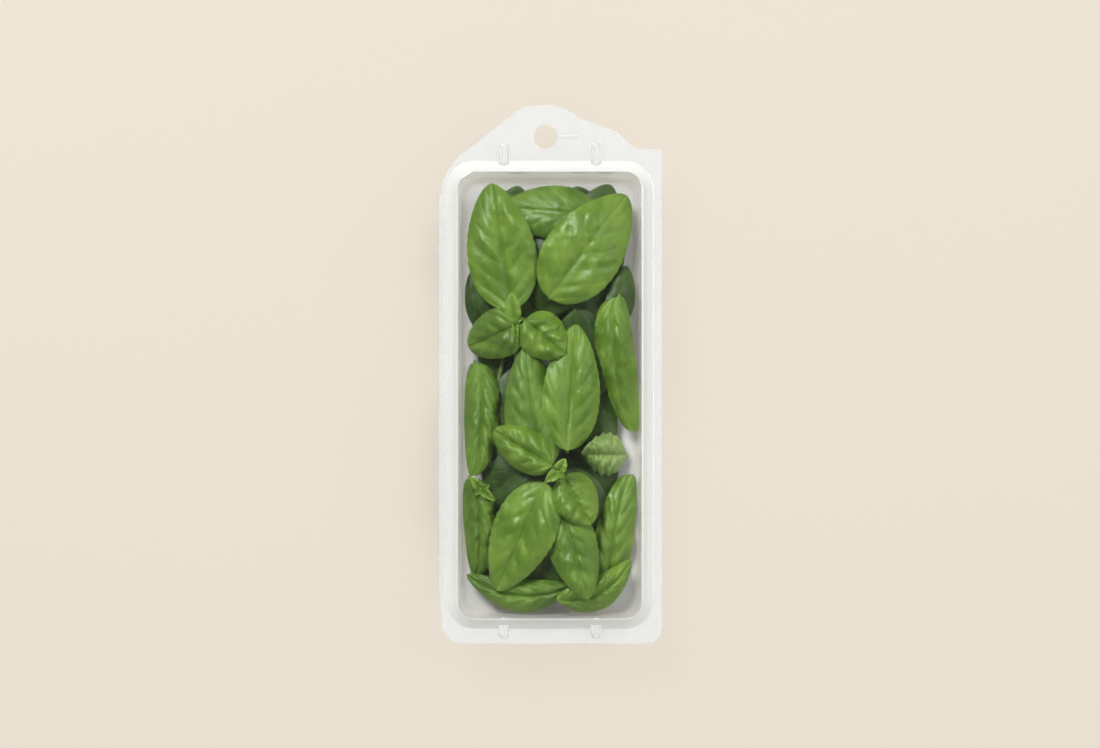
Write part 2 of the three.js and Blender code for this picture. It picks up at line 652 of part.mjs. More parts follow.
// One piece, turned and placed in plan over the pile so far. relief flattens the leaves where
// the pack is shallow.
function makePiece(item, order, relief, surface) {
  const colours = { leaf: SHADES[order % SHADES.length], stem: STEM_GREEN, tip: TIP_GREEN };
  const color = colours[item.kind];
  const material = new THREE.MeshStandardMaterial({ color, roughness: 0.5, metalness: 0 });
  const mesh = new THREE.Mesh(new THREE.BufferGeometry(), material);
  mesh.name = item.name;
  mesh.rotation.z = THREE.MathUtils.degToRad(item.heading);
  mesh.position.set(item.at[0] * floorHalf, floorMiddle + item.at[1] * floorHalfLength, 0);
  if (item.kind === 'leaf') {
    mesh.updateMatrixWorld(true);
    const grid = leafGrid(item);
    const sheet = drape(grid, mesh.matrixWorld, surface);
    grid.forEach((row, i) => row.forEach((point, j) => {
      point.z = sheet[i][j] + relief * leafRise(point, item);
    }));
    mesh.geometry = bladeGeometry(grid);
  } else {
    mesh.geometry = item.kind === 'stem' ? stemGeometry(item) : tipGeometry(item, relief);
  }
  return mesh;
}

// A piece with its length shared out over the length of the floor.
function fitted(item) {
  return item.kind === 'tip' ? item : { ...item, length: item.length * lengthShare };
}

// Fills the pack from the floor up. In a shallow pack the leaves lie flatter, until the lid closes.
function fillPack() {
  const { floor, ceiling } = packLimits();
  for (let relief = 1; relief > 0.2; relief -= 0.1) {
    const surface = floor.slice();
    let clear = true;
    const meshes = PILE.map((item, order) => {
      const mesh = makePiece(fitted(item), order, relief, surface);
      const high = settle(mesh, surface);
      for (const cell of high.keys()) {
        clear = clear && surface[cell] + LEAF.lidGap < ceiling[cell];
      }
      return mesh;
    });
    if (clear) {
      return meshes;
    }
  }
  throw new Error('the pile is too tall for the pack');
}

// ---- Assembly -----------------------------------------------------------------------------

function clearPlastic(color) {
  return new THREE.MeshStandardMaterial({
    color,
    roughness: 0.12,
    metalness: 0,
    transparent: true,
    opacity: 0.3,
  });
}

function named(name, geometry, material) {
  const mesh = new THREE.Mesh(geometry, material);
  mesh.name = name;
  return mesh;
}

const pack = new THREE.Group();
pack.add(named('tray', makeTray(), clearPlastic(0xe9eeee)));
pack.add(named('lid', makeLid(), clearPlastic(0xf0f4f4)));
pack.add(named('hinge_film', makeHinge(), clearPlastic(0xf0f4f4)));
pack.add(...fillPack());

export default pack;
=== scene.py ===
"""Looks of a hang-tab clamshell pack of fresh basil: clear sheet, leaves, stems and tips."""

import logging
import math
from dataclasses import dataclass, field
from enum import Enum

import bpy
import numpy as np
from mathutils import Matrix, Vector


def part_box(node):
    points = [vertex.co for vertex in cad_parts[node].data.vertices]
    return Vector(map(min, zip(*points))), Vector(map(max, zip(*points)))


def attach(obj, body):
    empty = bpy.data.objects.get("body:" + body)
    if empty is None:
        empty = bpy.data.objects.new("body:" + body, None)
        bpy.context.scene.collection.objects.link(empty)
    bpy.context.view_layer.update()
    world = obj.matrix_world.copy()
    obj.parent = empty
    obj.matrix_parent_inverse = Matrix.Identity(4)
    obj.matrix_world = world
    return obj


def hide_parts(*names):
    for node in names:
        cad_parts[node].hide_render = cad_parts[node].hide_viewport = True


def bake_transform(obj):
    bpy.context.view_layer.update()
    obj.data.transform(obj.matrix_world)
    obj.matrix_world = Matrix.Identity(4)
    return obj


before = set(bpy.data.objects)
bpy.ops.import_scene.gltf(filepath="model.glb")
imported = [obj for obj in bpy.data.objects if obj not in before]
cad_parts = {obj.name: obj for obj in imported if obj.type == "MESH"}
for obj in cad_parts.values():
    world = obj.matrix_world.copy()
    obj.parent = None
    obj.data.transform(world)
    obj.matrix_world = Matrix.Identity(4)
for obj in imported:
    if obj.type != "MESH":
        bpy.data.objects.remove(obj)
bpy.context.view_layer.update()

log = logging.getLogger("basil_pack")
MM = 0.001
Colour = tuple[float, float, float]
Place = tuple[float, float, float]
Plan = tuple[float, float]
Points = np.ndarray


# ---- Finishes ------------------------------------------------------------------------------


class Slot(Enum):
    """Material slots of the record."""

    PLASTIC = "clear_plastic"
    LEAF = "leaf"
    STEM = "stem"
    TIP = "growing_tip"


@dataclass(frozen=True)
class PlasticFinish:
    """Clear formed sheet, made milky white in places: partly the sheet's haze and partly painted
    reflection.
    """

    name: str
    clearness: float
    tint: Colour = (0.97, 0.985, 0.99)
    roughness: float = 0.06
    ior: float = 1.46
    shadow: float = 0.985


@dataclass(frozen=True)
class BladeFinish:
    """Satin leaf surface with pale veins and a duller underside."""

    name: str
    dark: Colour
    light: Colour
    vein: Colour
    under: Colour
    pairs: float = 6.0
    vein_strength: float = 0.4
    roughness: tuple[float, float] = (0.4, 0.54)
    bump: float = 0.35


@dataclass(frozen=True)
class StalkFinish:
    """Smooth green stalk, paler along its ridges."""

    name: str
    dark: Colour
    light: Colour
    roughness: float = 0.42


Finish = PlasticFinish | BladeFinish | StalkFinish


class Tone(Enum):
    """Finish of a leaf: fresh and mid greens for the pile's top, a pale young green, and a deep
    green darkened as painted shade for the leaves under it.
    """

    FRESH = BladeFinish(
        "leaf_fresh",
        dark=(0.105, 0.215, 0.014),
        light=(0.185, 0.32, 0.033),
        vein=(0.28, 0.42, 0.09),
        under=(0.25, 0.37, 0.1),
    )
    MID = BladeFinish(
        "leaf_mid",
        dark=(0.08, 0.175, 0.012),
        light=(0.15, 0.275, 0.028),
        vein=(0.23, 0.36, 0.07),
        under=(0.22, 0.34, 0.09),
    )
    # Leaves under the pile: their green is darkened well below the top leaves' green, as painted
    # shade for the dark gaps in the pile.
    DEEP_PAINTED_SHADE = BladeFinish(
        "leaf_deep",
        dark=(0.02, 0.052, 0.004),
        light=(0.05, 0.105, 0.01),
        vein=(0.085, 0.155, 0.028),
        under=(0.1, 0.16, 0.035),
    )
    PALE = BladeFinish(
        "leaf_pale",
        dark=(0.21, 0.34, 0.08),
        light=(0.31, 0.44, 0.14),
        vein=(0.42, 0.54, 0.23),
        under=(0.34, 0.46, 0.17),
    )


# Only the panel over the leaves is clear. The milky white given to the rim, walls, base and slopes
# is partly haze and partly paints the sheen and reflections that brighten them.
PANEL = PlasticFinish("sheet_panel", 0.997)
WALL = PlasticFinish("sheet_wall", 0.78)
BASE = PlasticFinish("sheet_base", 0.66)
RIM = PlasticFinish("sheet_rim", 0.74)
SLOPE = PlasticFinish("sheet_slope", 0.5)
STALK = StalkFinish("stalk_green", (0.12, 0.21, 0.04), (0.22, 0.32, 0.085))
LEAFLET = BladeFinish(
    "leaflet_bright",
    (0.13, 0.255, 0.02),
    (0.23, 0.38, 0.045),
    (0.32, 0.48, 0.11),
    (0.26, 0.4, 0.09),
    pairs=4.0,
    vein_strength=0.3,
)


class Graph:
    """Short calls that add and join the nodes of one tree."""

    def __init__(self, tree: bpy.types.NodeTree) -> None:
        """Args: tree: the node tree to fill."""
        self.tree = tree

    def add(self, kind: str, **settings: object) -> bpy.types.Node:
        """Adds a node and sets its properties.

        Args:
            kind: the node's type name.
            settings: properties of the node, by name.

        Returns:
            The new node.
        """
        node = self.tree.nodes.new(kind)
        for key, value in settings.items():
            setattr(node, key, value)
        return node

    def feed(self, socket: bpy.types.NodeSocket, value: object) -> None:
        """Joins a socket to another socket, or sets its value; None leaves it as it is."""
        if isinstance(value, bpy.types.NodeSocket):
            self.tree.links.new(value, socket)
        elif value is not None:
            socket.default_value = value

    def math(self, operation: str, a: object, b: object = None) -> bpy.types.NodeSocket:
        """Adds a Math node.

        Args:
            operation: the operation's name.
            a: first value or socket.
            b: second value or socket, where the operation has one.

        Returns:
            The result's socket.
        """
        node = self.add("ShaderNodeMath", operation=operation)
        self.feed(node.inputs[0], a)
        self.feed(node.inputs[1], b)
        return node.outputs[0]

    def ramp(
        self, value: object, low: float, high: float, to: tuple[float, float] = (0.0, 1.0)
    ) -> bpy.types.NodeSocket:
        """Maps a value smoothly from low and high to the two numbers of to.

        Args:
            value: the value or socket.
            low: where the ramp starts.
            high: where it ends.
            to: what it gives at its start and end.

        Returns:
            The result's socket.
        """
        node = self.add("ShaderNodeMapRange", interpolation_type="SMOOTHSTEP")
        for socket, number in zip(node.inputs[:5], (value, low, high, *to)):
            self.feed(socket, number)
        return node.outputs[0]

    def blend(self, factor: object, a: object, b: object) -> bpy.types.NodeSocket:
        """Mixes two colours by a factor and returns the result's socket."""
        node = self.add("ShaderNodeMix", data_type="RGBA")
        self.feed(node.inputs[0], factor)
        for socket, value in zip(node.inputs[6:8], (a, b)):
            self.feed(socket, (*value, 1) if isinstance(value, tuple) else value)
        return node.outputs[2]

    def bump(
        self, shader: bpy.types.Node, height: object, strength: float, distance: float
    ) -> None:
        """Raises a shader's surface.

        Args:
            shader: the shader.
            height: the height's socket.
            strength: strength of the relief.
            distance: its depth, millimetres.
        """
        node = self.add("ShaderNodeBump")
        node.inputs["Strength"].default_value = strength
        node.inputs["Distance"].default_value = distance * MM
        self.feed(node.inputs["Height"], height)
        self.feed(shader.inputs["Normal"], node.outputs[0])

    def noise(self, place: object, scale: float, detail: float = 3.0) -> bpy.types.NodeSocket:
        """Adds a noise pattern and returns its value's socket."""
        node = self.add("ShaderNodeTexNoise")
        self.feed(node.inputs["Vector"], place)
        node.inputs["Scale"].default_value = scale
        node.inputs["Detail"].default_value = detail
        return node.outputs[0]


class Finishes:
    """Builds each material once and hands it out."""

    VEIN_LINE = 0.085
    BROAD_MOTTLE, FINE_MOTTLE = 95.0, 620.0
    CELLS = 900.0
    STALK_STREAK, STALK_GRAIN = 240.0, 900.0
    SHEET_FLOW = 55.0

    def __init__(self) -> None:
        """Starts with no material made."""
        self.made: dict[str, bpy.types.Material] = {}
        self.blade_group = self.make_blade_group()

    @staticmethod
    def start(name: str) -> tuple[bpy.types.Material, Graph, bpy.types.Node]:
        """Makes an empty material and returns it with its graph and its Principled shader."""
        material = bpy.data.materials.new(name)
        material.use_nodes = True
        graph = Graph(material.node_tree)
        return material, graph, material.node_tree.nodes["Principled BSDF"]

    def make_blade_group(self) -> bpy.types.NodeTree:
        """Builds the pattern that every blade shares: veins, mottling and fine relief."""
        tree = bpy.data.node_groups.new("blade_pattern", "ShaderNodeTree")
        for name in ("Pairs", "Line"):
            tree.interface.new_socket(name=name, in_out="INPUT", socket_type="NodeSocketFloat")
        for name in ("Vein", "Mottle", "Height"):
            tree.interface.new_socket(name=name, in_out="OUTPUT", socket_type="NodeSocketFloat")
        graph = Graph(tree)
        given = graph.add("NodeGroupInput")
        result = graph.add("NodeGroupOutput")
        blade = graph.add("ShaderNodeAttribute", attribute_name="blade")
        parts = graph.add("ShaderNodeSeparateXYZ")
        graph.feed(parts.inputs[0], blade.outputs["Vector"])
        along, side, half = parts.outputs
        out = graph.math("ABSOLUTE", side)
        curled = graph.math("MULTIPLY", graph.math("POWER", out, 2.0), Blade.CURL)
        swept = graph.math("ADD", graph.math("MULTIPLY", out, Blade.SWEEP), curled)
        phase = graph.math("MULTIPLY", graph.math("SUBTRACT", along, swept), given.outputs["Pairs"])
        staggered = graph.math("MULTIPLY", graph.math("LESS_THAN", side, 0.0), Blade.STAGGER)
        phase = graph.math("FRACT", graph.math("ADD", graph.math("ADD", phase, staggered), 0.5))
        near = graph.math("ABSOLUTE", graph.math("SUBTRACT", phase, 0.5))
        lateral = graph.ramp(near, 0.0, given.outputs["Line"], (1.0, 0.0))
        lateral = graph.math("MULTIPLY", lateral, graph.ramp(out, 0.5, 1.0, (0.55, 0.1)))
        rib = graph.ramp(graph.math("MULTIPLY", out, half), 0.12, 0.62, (1.0, 0.0))
        graph.feed(result.inputs["Vein"], graph.math("MAXIMUM", lateral, rib))
        place = graph.add("ShaderNodeTexCoord").outputs["Object"]
        broad = graph.noise(place, self.BROAD_MOTTLE, 2.0)
        fine = graph.noise(place, self.FINE_MOTTLE, 4.0)
        grain = graph.math("MULTIPLY", fine, 0.28)
        mottle = graph.math("ADD", graph.math("MULTIPLY", broad, 0.72), grain)
        graph.feed(result.inputs["Mottle"], graph.ramp(mottle, 0.34, 0.66))
        cells = graph.add("ShaderNodeTexVoronoi", feature="SMOOTH_F1")
        graph.feed(cells.inputs["Vector"], place)
        cells.inputs["Scale"].default_value = self.CELLS
        raised = graph.math("ADD", graph.math("MULTIPLY", cells.outputs["Distance"], -0.6), fine)
        sunk = graph.math("MULTIPLY", lateral, 0.8)
        graph.feed(result.inputs["Height"], graph.math("SUBTRACT", raised, sunk))
        return tree

    def of(self, finish: Finish) -> bpy.types.Material:
        """Returns the material of a finish.

        Args:
            finish: the finish of a blade, a stalk or a sheet.

        Returns:
            The material, made on the first call.
        """
        if finish.name not in self.made:
            makers = {
                BladeFinish: self.blade,
                StalkFinish: self.stalk,
                PlasticFinish: self.plastic,
            }
            material, graph, shader = self.start(finish.name)
            makers[type(finish)](finish, graph, shader)
            self.made[finish.name] = material
        return self.made[finish.name]

    def blade(self, finish: BladeFinish, graph: Graph, shader: bpy.types.Node) -> None:
        """Builds a leaf: veins over two mottled greens, with a paler underside."""
        pattern = graph.add("ShaderNodeGroup", node_tree=self.blade_group)
        pattern.inputs["Pairs"].default_value = finish.pairs
        pattern.inputs["Line"].default_value = self.VEIN_LINE
        green = graph.blend(pattern.outputs["Mottle"], finish.dark, finish.light)
        strength = graph.math("MULTIPLY", pattern.outputs["Vein"], finish.vein_strength)
        veined = graph.blend(strength, green, finish.vein)
        under = graph.add("ShaderNodeAttribute", attribute_name="under")
        whole = graph.blend(under.outputs["Fac"], veined, finish.under)
        graph.feed(shader.inputs["Base Color"], whole)
        gloss = graph.ramp(pattern.outputs["Mottle"], 0.0, 1.0, finish.roughness)
        graph.feed(shader.inputs["Roughness"], gloss)
        graph.bump(shader, pattern.outputs["Height"], finish.bump, 0.25)
        shader.inputs["Specular IOR Level"].default_value = 0.42

    def stalk(self, finish: StalkFinish, graph: Graph, shader: bpy.types.Node) -> None:
        """Builds a stalk: streaks of two greens."""
        place = graph.add("ShaderNodeTexCoord").outputs["Object"]
        streak = graph.ramp(graph.noise(place, self.STALK_STREAK), 0.35, 0.65)
        graph.feed(shader.inputs["Base Color"], graph.blend(streak, finish.dark, finish.light))
        shader.inputs["Roughness"].default_value = finish.roughness
        graph.bump(shader, graph.noise(place, self.STALK_GRAIN), 0.2, 0.2)

    def plastic(self, finish: PlasticFinish, graph: Graph, shader: bpy.types.Node) -> None:
        """Builds clear sheet: light passes through it to what is inside."""
        place = graph.add("ShaderNodeTexCoord").outputs["Object"]
        shader.inputs["Base Color"].default_value = (*finish.tint, 1)
        shader.inputs["Transmission Weight"].default_value = finish.clearness
        shader.inputs["IOR"].default_value = finish.ior
        flow = graph.noise(place, self.SHEET_FLOW, 1.5)
        gloss = (finish.roughness * 0.6, finish.roughness * 1.6)
        graph.feed(shader.inputs["Roughness"], graph.ramp(flow, 0.3, 0.7, gloss))
        graph.bump(shader, flow, 0.12, 0.3)
        passing = graph.add("ShaderNodeBsdfTransparent")
        passing.inputs[0].default_value = (finish.shadow,) * 3 + (1,)
        path = graph.add("ShaderNodeLightPath")
        surface = shader.outputs[0]
        for ray in ("Is Shadow Ray", "Is Diffuse Ray"):
            mixed = graph.add("ShaderNodeMixShader")
            graph.feed(mixed.inputs[0], path.outputs[ray])
            graph.feed(mixed.inputs[1], surface)
            graph.feed(mixed.inputs[2], passing.outputs[0])
            surface = mixed.outputs[0]
        graph.feed(graph.tree.nodes["Material Output"].inputs["Surface"], surface)


# ---- Mesh helpers --------------------------------------------------------------------------


class Shaper:
    """Makes meshes from primitives and finishes them in edit mode."""

    SAME = 0.0001

    @staticmethod
    def clear_selection() -> None:
        """Deselects everything in the scene."""
        for obj in bpy.context.selected_objects:
            obj.select_set(False)

    @staticmethod
    def only(obj: bpy.types.Object) -> None:
        """Selects one object and makes it the active one."""
        Shaper.clear_selection()
        obj.select_set(True)
        bpy.context.view_layer.objects.active = obj

    @staticmethod
    def grid(name: str, points: Points, marks: dict[str, Points] | None = None) -> bpy.types.Object:
        """Makes a mesh of quads from a primitive grid whose vertices are put in their places.

        Args:
            name: the piece's name.
            points: places in millimetres, by row and column.
            marks: values kept on the vertices, by name: one number or three for each.

        Returns:
            The new object, at the origin.
        """
        rows, columns = points.shape[:2]
        Shaper.clear_selection()
        bpy.ops.mesh.primitive_grid_add(x_subdivisions=columns - 1, y_subdivisions=rows - 1, size=1)
        obj = bpy.context.object
        obj.name = obj.data.name = name
        obj.data.vertices.foreach_set("co", (points * MM).astype(np.float32).ravel())
        for key, values in (marks or {}).items():
            kind, slot = ("FLOAT_VECTOR", "vector") if values.ndim == 3 else ("FLOAT", "value")
            layer = obj.data.attributes.new(key, kind, "POINT")
            layer.data.foreach_set(slot, values.astype(np.float32).ravel())
        return obj

    @staticmethod
    def close(obj: bpy.types.Object, merge: float = 0.002) -> None:
        """Merges the seams of a mesh and turns its faces outwards; merge is in millimetres."""
        Shaper.only(obj)
        bpy.ops.object.mode_set(mode="EDIT")
        bpy.ops.mesh.select_all(action="SELECT")
        bpy.ops.mesh.remove_doubles(threshold=merge * MM)
        bpy.ops.mesh.normals_make_consistent(inside=False)
        bpy.ops.object.mode_set(mode="OBJECT")

    @staticmethod
    def smooth(obj: bpy.types.Object, degrees: float) -> None:
        """Shades a piece smooth, apart from edges sharper than the angle."""
        Shaper.only(obj)
        bpy.ops.object.shade_smooth_by_angle(angle=math.radians(degrees))

    @staticmethod
    def apply(obj: bpy.types.Object, kind: str, **settings: object) -> None:
        """Adds a modifier, sets its properties and applies it."""
        Shaper.only(obj)
        modifier = obj.modifiers.new(kind.lower(), kind)
        for key, value in settings.items():
            setattr(modifier, key, value)
        bpy.ops.object.modifier_apply(modifier=modifier.name)

    @staticmethod
    def block(
        name: str, low: Place, high: Place, round_off: float, top_off: float
    ) -> bpy.types.Object:
        """Makes an upright block with round corners in plan and a rounded top edge.

        Args:
            name: the block's name.
            low: lowest corner, millimetres.
            high: highest corner, millimetres.
            round_off: radius of the upright edges.
            top_off: radius of the top edge.

        Returns:
            The block, at the origin.
        """
        centre = [(a + b) / 2 * MM for a, b in zip(low, high)]
        size = [(b - a) * MM for a, b in zip(low, high)]
        Shaper.clear_selection()
        bpy.ops.mesh.primitive_cube_add(size=1, location=centre)
        obj = bpy.context.object
        obj.name = name
        obj.scale = size
        bpy.ops.object.transform_apply(location=True, rotation=True, scale=True)
        near = Shaper.SAME * MM
        top = high[2] * MM - near
        Shaper.round_edges(obj, lambda a, b: abs(a.z - b.z) > near, round_off, 6)
        Shaper.round_edges(obj, lambda a, b: a.z > top and b.z > top, top_off, 4)
        return obj

    @staticmethod
    def round_edges(obj: bpy.types.Object, chosen: object, radius: float, segments: int) -> None:
        """Bevels the edges whose two ends pass a test.

        Args:
            obj: the mesh.
            chosen: the test, given the places of an edge's two ends.
            radius: millimetres.
            segments: steps round the bevel.
        """
        Shaper.only(obj)
        bpy.ops.object.mode_set(mode="EDIT")
        bpy.ops.mesh.select_mode(type="EDGE")
        bpy.ops.mesh.select_all(action="DESELECT")
        bpy.ops.object.mode_set(mode="OBJECT")
        places = [v.co for v in obj.data.vertices]
        for edge in obj.data.edges:
            edge.select = chosen(places[edge.vertices[0]], places[edge.vertices[1]])
        bpy.ops.object.mode_set(mode="EDIT")
        bpy.ops.mesh.bevel(offset=radius * MM, segments=segments, affect="EDGES")
        bpy.ops.object.mode_set(mode="OBJECT")

    @staticmethod
    def combine(obj: bpy.types.Object, tools: list[bpy.types.Object], operation: str) -> None:
        """Joins solids to a piece or cuts them from it, then removes them.

        Args:
            obj: the piece.
            tools: solids that don't touch each other.
            operation: UNION or DIFFERENCE.
        """
        Shaper.only(tools[0])
        for tool in tools:
            tool.select_set(True)
        if len(tools) > 1:
            bpy.ops.object.join()
        tool = bpy.context.object
        Shaper.apply(obj, "BOOLEAN", operation=operation, solver="EXACT", object=tool)
        bpy.data.objects.remove(tool)


def install(
    obj: bpy.types.Object,
    materials: list[bpy.types.Material],
    body: str | None,
    node: str,
) -> None:
    """Dresses a finished piece and places it in the frame.

    Args:
        obj: the piece.
        materials: its finishes, in the order of its faces' material numbers.
        body: the CAD body it rides on, or None to leave it unattached.
        node: the CAD node it stands for.
    """
    chosen = [face.material_index for face in obj.data.polygons]
    obj.data.materials.clear()
    for material in materials:
        obj.data.materials.append(material)
    obj.data.polygons.foreach_set("material_index", [min(k, len(materials) - 1) for k in chosen])
    if body:
        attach(obj, body)
    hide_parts(node)
    log.info("%s: %d faces", obj.name, len(obj.data.polygons))


# ---- Clear pack ----------------------------------------------------------------------------


def bent(a: Points, b: Points, c: Points, t: float) -> Points:
    """Returns the point at share t of the curve from a to c that b pulls towards itself."""
    return (1 - t) ** 2 * np.array(a) + 2 * t * (1 - t) * np.array(b) + t * t * np.array(c)


@dataclass(frozen=True)
class RoundPlan:
    """A rectangle with round corners in plan, millimetres."""

    half: float
    low: float
    high: float
    corner: float

    def core(self, outline: Points) -> Points:
        """Returns the point between the corner centres that is nearest to each outline point."""
        x = self.half - self.corner
        y = np.clip(outline[:, 1], self.low + self.corner, self.high - self.corner)
        return np.stack([np.clip(outline[:, 0], -x, x), y], axis=1)

    def around(self, outline: Points, inset: float) -> Points:
        """Returns the plan's edge, drawn in by inset, where it is nearest to the outline."""
        core = self.core(outline)
        away = outline - core
        away /= np.linalg.norm(away, axis=1, keepdims=True)
        return core + away * (self.corner - inset)


@dataclass(frozen=True)
class PackSizes:
    """Sizes of the formed sheets, millimetres."""

    width: float = 84.8
    length: float = 204.4
    sheet: float = 0.45
    depth: float = 22.2
    parting: float = 0.3
    rise: float = 6.3
    shoulder: float = 17.3
    corner_left: float = 8.0
    corner_right: float = 6.0
    flange_left: float = -41.0
    hinge_x: float = -41.85
    hinge_radius: float = 0.55
    hinge_low: float = -90.2
    hinge_high: float = 68.2
    hole_x: float = -1.7
    hole_drop: float = 12.2
    hole_radius: float = 4.55
    boss_radius: float = 2.05
    boss_height: float = 2.9
    mouth: RoundPlan = RoundPlan(36.4, -94.2, 77.5, 9.0)
    ring_foot: RoundPlan = RoundPlan(39.3, -96.9, 80.9, 11.0)

    @property
    def right(self) -> float:
        """Free edge of the flange."""
        return self.width / 2

    @property
    def peak(self) -> float:
        """Highest point of the hang tab."""
        return self.length / 2

    @property
    def flanges(self) -> Plan:
        """Heights of the tray's and the lid's flange, at the middle of the sheet."""
        low = self.depth - self.parting / 2 - self.sheet / 2
        return low, self.depth + self.parting / 2 + self.sheet / 2

    @property
    def shoulder_line(self) -> float:
        """Line where the tab rises from the flange."""
        return self.peak - self.shoulder

    def outline(self, step: float = 1.1) -> Points:
        """Returns the flange's edge with the hang tab, counterclockwise, in steps of step."""
        right, bottom, left = self.right, -self.peak, self.flange_left

        def up(share: float) -> float:
            return self.shoulder_line + share * self.shoulder

        def arc(x: float, y: float, radius: float, start: float) -> list[Plan]:
            angles = np.radians(np.linspace(start, start + 90, 15))
            return [(x + radius * math.cos(a), y + radius * math.sin(a)) for a in angles]

        def curve(*ends: Plan) -> list[Plan]:
            return [tuple(bent(*ends, t)) for t in np.linspace(0, 1, 13)]

        near, far = self.corner_left, self.corner_right
        corners = [
            *arc(right - far, bottom + far, far, -90),
            (right, up(0)),
            *curve((right * 0.76, up(0.05)), (right * 0.71, up(0.14)), (right * 0.6, up(0.4))),
            *curve((right * 0.26, up(0.7)), (right * 0.07, up(1.155)), (right * -0.26, up(0.92))),
            *curve((right * -0.74, up(0)), (right * -0.84, up(-0.12)), (left, up(-0.7))),
            *arc(left + near, bottom + near, near, 180),
        ]
        points = []
        for a, b in zip(corners, corners[1:] + corners[:1]):
            count = max(1, round(math.dist(a, b) / step))
            points += [
                (a[0] + (b[0] - a[0]) * k / count, a[1] + (b[1] - a[1]) * k / count)
                for k in range(count)
            ]
        return np.array(points)


def rounded_profile(corners: list[Place], steps: int = 6) -> list[Plan]:
    """Rounds the inner corners of a wall's profile.

    Args:
        corners: inset, height and reach of the rounding at each corner, millimetres.
        steps: points in each rounding, less one.

    Returns:
        Inset and height of each point.
    """
    points = [corners[0][:2]]
    for before, here, after in zip(corners, corners[1:], corners[2:]):
        at, reach = np.array(here[:2]), here[2]
        start, end = (
            at + (np.array(other[:2]) - at) * reach / math.dist(other[:2], here[:2])
            for other in (before, after)
        )
        points += [tuple(bent(start, at, end, t)) for t in np.linspace(0, 1, steps + 1)]
    points.append(corners[-1][:2])
    return points


@dataclass
class Shell:
    """A formed sheet: a flange with the hang tab, walls, and a closed floor or panel."""

    sizes: PackSizes
    body: str
    plan: RoundPlan
    flange: float
    profile: list[Place]
    finish: PlasticFinish
    inner: Plan
    clear_inset: float
    lip: float = 0.8
    steep_finish: PlasticFinish = WALL

    STEEP = 0.9
    DRAWN = 0.93
    RINGS = (0.04, 0.12, 0.25, 0.42, 0.6, 0.8, 1.0)

    def surface(self) -> Points:
        """Returns the sheet's middle as rows of points, from the flange's edge inwards."""
        outline = self.sizes.outline()
        foot = self.plan.around(outline, self.profile[0][0])
        rows = []
        reach = np.linalg.norm(outline - foot, axis=1, keepdims=True)
        for step in (0.0, self.lip / 2, self.lip):
            rows.append((outline + (foot - outline) * step / reach, self.flange))
        walls = rounded_profile(self.profile)
        rows += [(self.plan.around(outline, inset), height) for inset, height in walls]
        edge, top = rows[-1]
        end = self.plan.half - self.plan.corner
        middle_y = np.clip(edge[:, 1], self.plan.low + end, self.plan.high - end)
        middle = np.stack([np.zeros(len(edge)), middle_y], axis=1)
        rows += [(edge + (middle - edge) * share, top) for share in self.RINGS]
        points = np.array([np.column_stack([at, np.full(len(at), z)]) for at, z in rows])
        return np.concatenate([points, points[:, :1]], axis=1)

    def build(self, finishes: Finishes, bosses: "Bosses") -> None:
        """Builds the sheet with its snap bosses and hang hole.

        Args:
            finishes: the material maker.
            bosses: the snap bosses of this sheet.
        """
        obj = Shaper.grid(f"{self.body}_shell", self.surface())
        Shaper.close(obj)
        thickness = self.sizes.sheet * self.DRAWN * MM
        Shaper.apply(obj, "SOLIDIFY", thickness=thickness, offset=0, use_even_offset=True)
        Shaper.combine(obj, bosses.raised(), "UNION")
        Shaper.combine(obj, bosses.hollows(), "DIFFERENCE")
        Shaper.close(obj, 0.004)
        Shaper.smooth(obj, 32)
        # Faces outside the clear panel get the milky finishes, whose white is partly haze and
        # partly painted reflection.
        low, high = (edge * MM for edge in self.inner)
        half = (self.plan.half - self.clear_inset) * MM
        for face in obj.data.polygons:
            x, y, z = face.center
            steep = abs(face.normal.z) < self.STEEP
            face.material_index = 2 if steep else int(abs(x) < half and low < z < high)
        used = (RIM, self.finish, self.steep_finish)
        install(obj, [finishes.of(one) for one in used], self.body, self.body)


@dataclass
class Bosses:
    """Snap bosses above and below the cavity, with the hang hole and the tab's rib."""

    sizes: PackSizes
    flange: float
    top: float
    radius: float
    spans: tuple[Plan, Plan]
    across: float = 17.5
    rib: bool = False

    ROUND = 0.98
    TOP_ROUND = 0.6
    RIB_SIZE = (8.7, 1.1, 0.9)
    RIB_START = 4.2
    CUT = 1.5

    def blocks(self, name: str, shrink: float, floor: float) -> list[bpy.types.Object]:
        """Makes the four bosses, drawn in by shrink, from a floor height up."""
        radius = self.radius - shrink
        made = []
        for x in (-self.across, self.across):
            for low, high in self.spans:
                corner = (x - radius, low + shrink, floor)
                other = (x + radius, high - shrink, self.top - shrink)
                top_round = min(self.TOP_ROUND, radius / 2)
                made.append(Shaper.block(name, corner, other, radius * self.ROUND, top_round))
        return made

    def raised(self) -> list[bpy.types.Object]:
        """Returns what stands up from the flange."""
        made = self.blocks("boss", 0.0, self.flange)
        if self.rib:
            length, width, height = self.RIB_SIZE
            x = self.sizes.hole_x + self.RIB_START
            y = self.sizes.peak - self.sizes.hole_drop
            low = (x, y - width / 2, self.flange)
            high = (x + length, y + width / 2, self.flange + height)
            made.append(Shaper.block("rib", low, high, 0.52, 0.3))
        return made

    def hollows(self) -> list[bpy.types.Object]:
        """Returns what is cut from the sheet: the inside of each boss and the hang hole."""
        s = self.sizes
        made = self.blocks("core", s.sheet, self.flange - self.CUT)
        place = (s.hole_x * MM, (s.peak - s.hole_drop) * MM, self.flange * MM)
        Shaper.clear_selection()
        bpy.ops.mesh.primitive_cylinder_add(
            vertices=64, radius=s.hole_radius * MM, depth=8 * MM, location=place
        )
        cutter = bpy.context.object
        bpy.ops.object.transform_apply(location=True, rotation=True, scale=True)
        made.append(cutter)
        return made


